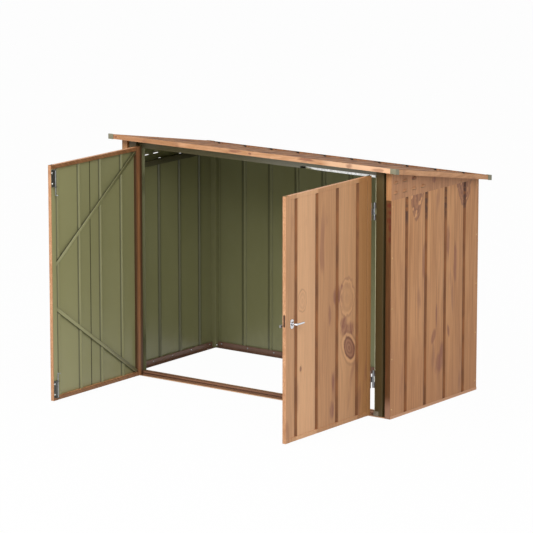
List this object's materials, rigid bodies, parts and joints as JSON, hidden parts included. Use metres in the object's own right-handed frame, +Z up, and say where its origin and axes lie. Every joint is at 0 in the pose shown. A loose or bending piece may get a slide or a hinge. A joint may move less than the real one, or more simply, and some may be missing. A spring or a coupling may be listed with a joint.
{
  "type": "bike shelter",
  "caption": "Lean-to sheet-steel bike shelter with a pent roof, two hinged doors, base frame, louvred gables and no floor.",
  "frame": {"origin": "on the ground at the centre of the footprint, which is the centre of the four anchor holes", "axes": "+X along the width, from the left door to the right door; +Y from the doors to the back wall; +Z up"},
  "size_m": [2.242, 1.942, 1.5872],
  "materials": {
    "wood_print_wall": "steel sheet printed with a knotty pine grain, satin lacquer",
    "wood_print_roof": "steel sheet printed with a knotty pine grain, satin lacquer",
    "wood_print_trim": "folded steel edging printed with a pine grain, satin lacquer",
    "wood_print_door": "steel sheet and folded frame printed with a knotty pine grain",
    "brown_rail": "folded steel rail, brown print, satin",
    "green_paint": "plain olive green coating, satin",
    "grey_plastic": "moulded grey-green plastic, matte",
    "galvanised": "galvanised pressed steel",
    "bright_chrome": "chromed, polished"
  },
  "bodies": {
    "shelter": {"post_front_left": "wood_print_wall", "post_front_right": "wood_print_wall", "wall_left": "wood_print_wall", "wall_right": "wood_print_wall", "back_sheet_left": "wood_print_wall", "back_sheet_middle": "wood_print_wall", "back_sheet_right": "wood_print_wall", "gable_left": "wood_print_wall", "gable_right": "wood_print_wall", "sill": "wood_print_wall", "roof_sheet_left": "wood_print_roof", "roof_sheet_middle": "wood_print_roof", "roof_sheet_right": "wood_print_roof", "trim_front": "wood_print_trim", "trim_back": "wood_print_trim", "trim_left": "wood_print_trim", "trim_right": "wood_print_trim", "base_rail_back": "brown_rail", "base_rail_left": "brown_rail", "base_rail_right": "brown_rail", "top_rail_back": "brown_rail", "top_rails_side": "brown_rail", "posts_back": "green_paint", "jamb_left": "green_paint", "jamb_right": "green_paint", "door_stops": "green_paint", "header": "green_paint", "foot_blocks": "grey_plastic", "corner_caps": "grey_plastic", "hinge_plates": "galvanised", "header_strip": "galvanised"},
    "door_left": {"door_left_panel": "wood_print_door", "door_left_stiles": "wood_print_door", "door_left_rails": "wood_print_door", "door_left_braces": "green_paint", "door_left_hinges": "galvanised", "bolt_brackets": "galvanised"},
    "door_right": {"door_right_panel": "wood_print_door", "door_right_stiles": "wood_print_door", "door_right_rails": "wood_print_door", "door_right_braces": "green_paint", "door_right_hinges": "galvanised", "lock_case": "galvanised", "handle_roses": "bright_chrome"},
    "handle": {"handle": "bright_chrome"},
    "bolt_top": {"bolt_top": "galvanised"},
    "bolt_bottom": {"bolt_bottom": "galvanised"}
  },
  "joints": [
    {"name": "door_left_swing", "type": "hinge", "parent": "shelter", "child": "door_left", "pos_m": [-0.9195, -0.4805, 0], "axis": [0, 0, 1], "range_deg": [-20, 90]},
    {"name": "door_right_swing", "type": "hinge", "parent": "shelter", "child": "door_right", "pos_m": [0.9195, -0.4805, 0], "axis": [0, 0, 1], "range_deg": [-90, 20]},
    {"name": "handle_turn", "type": "hinge", "parent": "door_right", "child": "handle", "pos_m": [0.9165, -1.337, 0.74], "axis": [-1, 0, 0], "range_deg": [0, 45], "stiffness_Nm_per_rad": 0.4, "springref_deg": -17.19},
    {"name": "bolt_top_slide", "type": "slide", "parent": "door_left", "child": "bolt_top", "axis": [0, 0, 1], "range_m": [0, 0.04]},
    {"name": "bolt_bottom_slide", "type": "slide", "parent": "door_left", "child": "bolt_bottom", "axis": [0, 0, -1], "range_m": [0, 0.024]}
  ]
}
